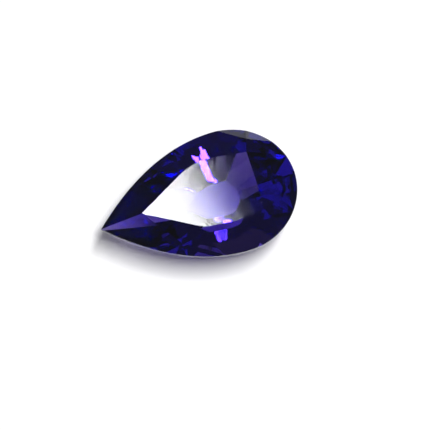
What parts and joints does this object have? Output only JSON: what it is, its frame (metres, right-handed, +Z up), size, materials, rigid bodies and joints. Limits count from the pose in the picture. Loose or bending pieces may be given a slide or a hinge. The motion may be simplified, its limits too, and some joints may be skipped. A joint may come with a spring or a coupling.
{
  "type": "pear-cut tanzanite gemstone",
  "caption": "Loose pear-cut blue-violet gemstone with a flat table, faceted crown and pavilion, thin scalloped girdle and a small flat culet that it stands on.",
  "frame": {"origin": "on the surface that the stone stands on, under the middle of its length and width", "axes": "+X from the point of the pear to its round head, +Y across the stone, +Z up through the table"},
  "size_m": [0.008, 0.005, 0.0026],
  "materials": {
    "crystal": "clear blue-violet crystal with polished facets and a finely uneven table"
  },
  "bodies": {
    "root": {"tanzanite": "crystal"}
  },
  "joints": []
}
